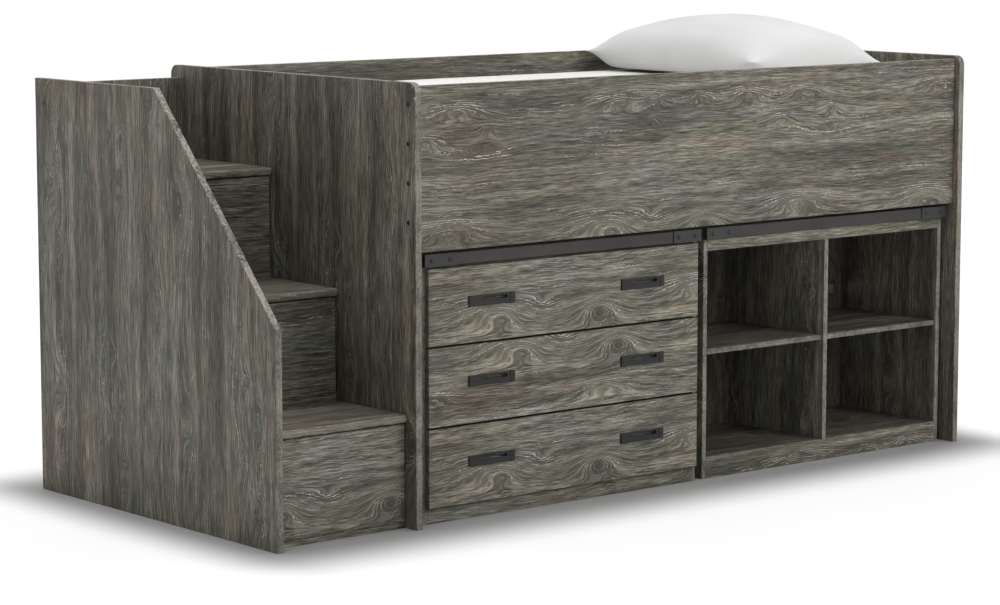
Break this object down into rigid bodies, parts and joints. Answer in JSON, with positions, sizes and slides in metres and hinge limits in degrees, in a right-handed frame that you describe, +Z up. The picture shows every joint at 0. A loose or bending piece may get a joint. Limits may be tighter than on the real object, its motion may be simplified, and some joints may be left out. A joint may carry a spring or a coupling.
{
  "type": "low loft bed with stair",
  "caption": "Low loft bed with a boarded stair with drawers in its steps, a drawer chest and an open bookcase standing under a deep guard board.",
  "frame": {"origin": "on the floor, under the centre of the plan's bounding rectangle", "axes": "+X along the bed from the stair to the head end, +Y from the front with the drawers to the rear, +Z up"},
  "size_m": [2.44, 1.08, 1.2323],
  "materials": {
    "grey_oak_laminate": "satin weathered grey oak laminate with white-filled grain",
    "drawer_box_board": "matte printed board",
    "hardboard_back": "matte printed hardboard",
    "slat_wood": "plain planed softwood",
    "dark_pewter_metal": "satin dark pewter",
    "zinc_slides": "zinc plated",
    "mattress_cover": "white knitted cover",
    "pillow_cover": "white cotton cover"
  },
  "bodies": {
    "root": {"bar_end_plates": "dark_pewter_metal", "bed_end_left": "grey_oak_laminate", "bed_end_right": "grey_oak_laminate", "bed_slats": "slat_wood", "bookcase_back": "hardboard_back", "bookcase_deck": "grey_oak_laminate", "bookcase_divider": "grey_oak_laminate", "bookcase_plinth": "grey_oak_laminate", "bookcase_shelf_left": "grey_oak_laminate", "bookcase_shelf_pins": "zinc_slides", "bookcase_shelf_right": "grey_oak_laminate", "bookcase_side_left": "grey_oak_laminate", "bookcase_side_right": "grey_oak_laminate", "bookcase_top": "grey_oak_laminate", "bookcase_top_rail": "grey_oak_laminate", "chest_back": "hardboard_back", "chest_deck": "grey_oak_laminate", "chest_plinth": "grey_oak_laminate", "chest_runners": "zinc_slides", "chest_side_left": "grey_oak_laminate", "chest_side_right": "grey_oak_laminate", "chest_top": "grey_oak_laminate", "chest_top_rail": "grey_oak_laminate", "guard_front": "grey_oak_laminate", "guard_rear": "grey_oak_laminate", "mattress": "mattress_cover", "metal_bars": "dark_pewter_metal", "pillow": "pillow_cover", "slat_cleats": "slat_wood", "stair_back": "grey_oak_laminate", "stair_kick_strips": "grey_oak_laminate", "stair_runners": "zinc_slides", "stair_side_outer": "grey_oak_laminate", "stair_string_inner": "grey_oak_laminate", "stair_tread_1": "grey_oak_laminate", "stair_tread_2": "grey_oak_laminate", "stair_tread_3": "grey_oak_laminate"},
    "chest_drawer_top": {"chest_drawer_front_top": "grey_oak_laminate", "chest_drawer_box_top": "drawer_box_board", "chest_drawer_slides_top": "zinc_slides", "chest_drawer_pulls_top": "dark_pewter_metal"},
    "chest_drawer_middle": {"chest_drawer_front_middle": "grey_oak_laminate", "chest_drawer_box_middle": "drawer_box_board", "chest_drawer_slides_middle": "zinc_slides", "chest_drawer_pulls_middle": "dark_pewter_metal"},
    "chest_drawer_bottom": {"chest_drawer_front_bottom": "grey_oak_laminate", "chest_drawer_box_bottom": "drawer_box_board", "chest_drawer_slides_bottom": "zinc_slides", "chest_drawer_pulls_bottom": "dark_pewter_metal"},
    "step_drawer_1": {"step_drawer_front_1": "grey_oak_laminate", "step_drawer_box_1": "drawer_box_board", "step_drawer_slides_1": "zinc_slides"},
    "step_drawer_2": {"step_drawer_front_2": "grey_oak_laminate", "step_drawer_box_2": "drawer_box_board", "step_drawer_slides_2": "zinc_slides"},
    "step_drawer_3": {"step_drawer_front_3": "grey_oak_laminate", "step_drawer_box_3": "drawer_box_board", "step_drawer_slides_3": "zinc_slides"}
  },
  "joints": [
    {"name": "chest_drawer_top_slide", "type": "slide", "parent": "root", "child": "chest_drawer_top", "axis": [0, -1, 0], "range_m": [0, 0.27]},
    {"name": "chest_drawer_middle_slide", "type": "slide", "parent": "root", "child": "chest_drawer_middle", "axis": [0, -1, 0], "range_m": [0, 0.27]},
    {"name": "chest_drawer_bottom_slide", "type": "slide", "parent": "root", "child": "chest_drawer_bottom", "axis": [0, -1, 0], "range_m": [0, 0.27]},
    {"name": "step_drawer_1_slide", "type": "slide", "parent": "root", "child": "step_drawer_1", "axis": [0, -1, 0], "range_m": [0, 0.3]},
    {"name": "step_drawer_2_slide", "type": "slide", "parent": "root", "child": "step_drawer_2", "axis": [0, -1, 0], "range_m": [0, 0.3]},
    {"name": "step_drawer_3_slide", "type": "slide", "parent": "root", "child": "step_drawer_3", "axis": [0, -1, 0], "range_m": [0, 0.3]}
  ]
}
